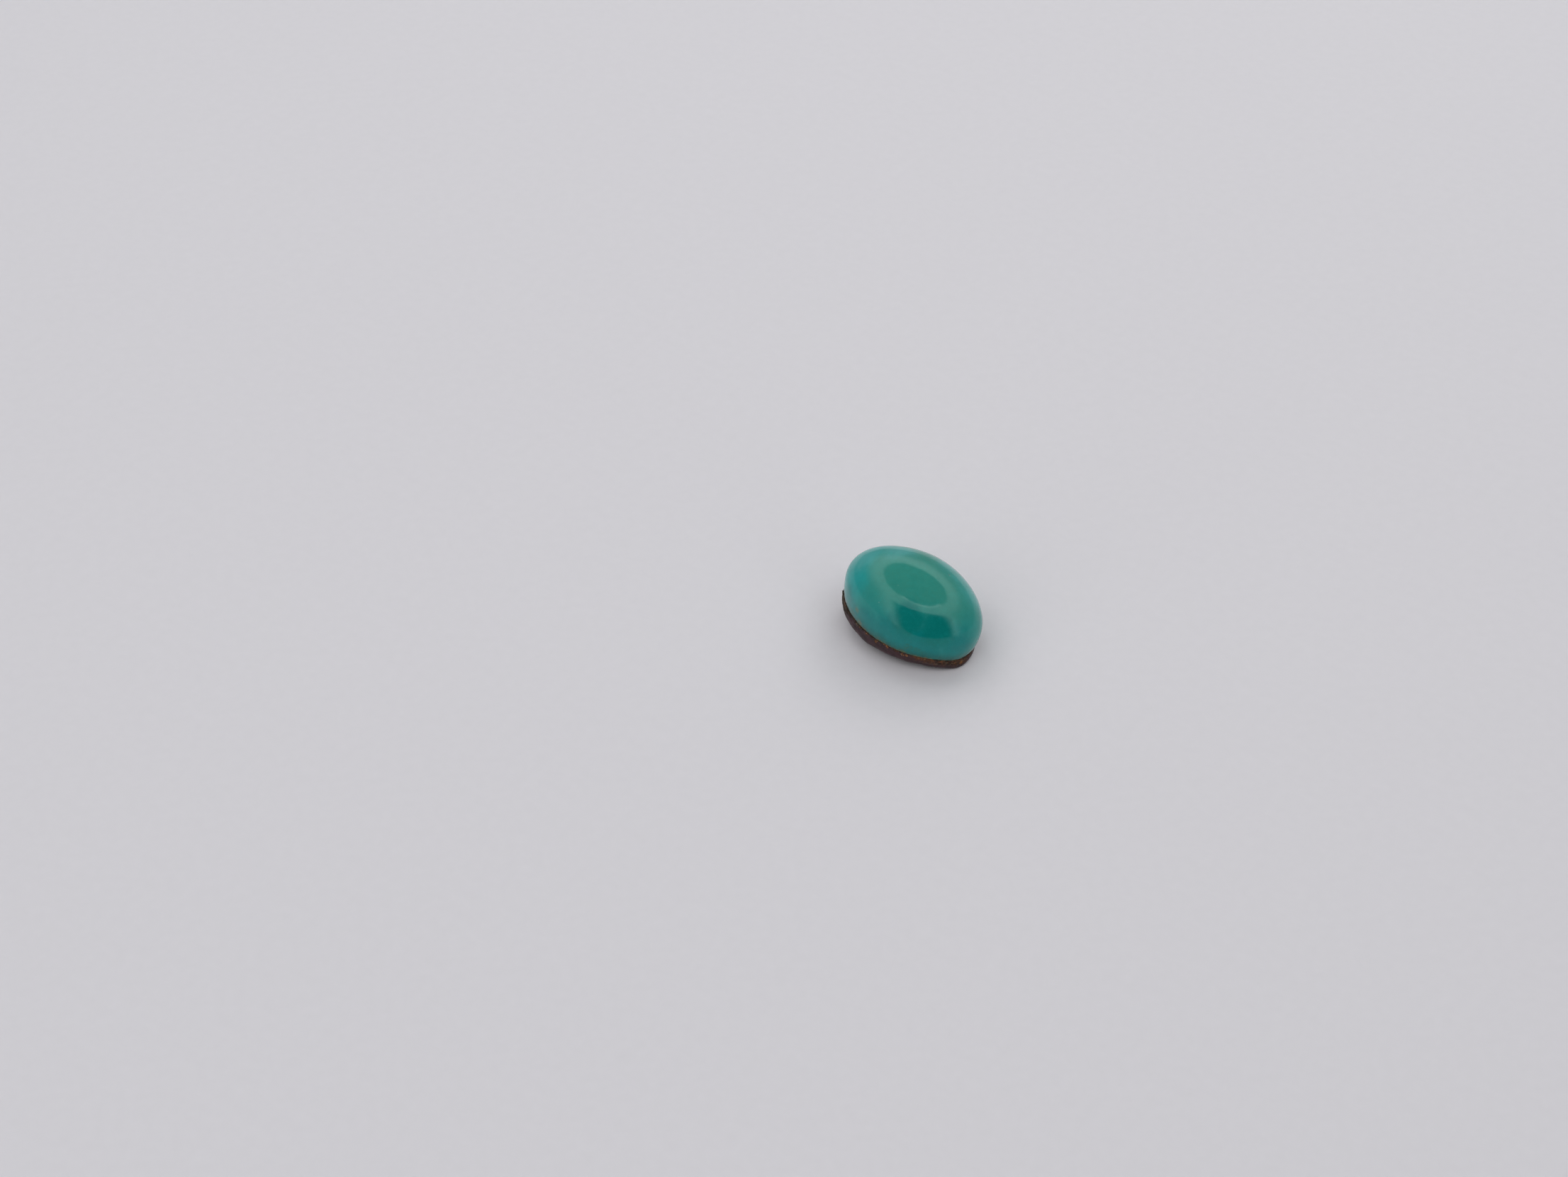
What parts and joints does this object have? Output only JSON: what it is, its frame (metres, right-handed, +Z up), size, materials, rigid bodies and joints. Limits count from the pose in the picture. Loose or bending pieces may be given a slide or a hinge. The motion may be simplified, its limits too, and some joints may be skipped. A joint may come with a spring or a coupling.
{
  "type": "turquoise cabochon on its matrix",
  "caption": "Oval high-domed polished turquoise stone with its rough dark ironstone matrix left on the back, lying loose on its bellied underside.",
  "frame": {"origin": "centre of the stone's box on the surface it lies on", "axes": "+X along the oval's long axis towards its low end, +Z up; the seam between turquoise and matrix is tilted 8.4 degrees, low towards +X +Y"},
  "size_m": [0.0148, 0.0106, 0.0083],
  "materials": {
    "turquoise": "polished",
    "matrix": "rough natural rock"
  },
  "bodies": {
    "root": {"turquoise": "turquoise", "matrix": "matrix"}
  },
  "joints": []
}
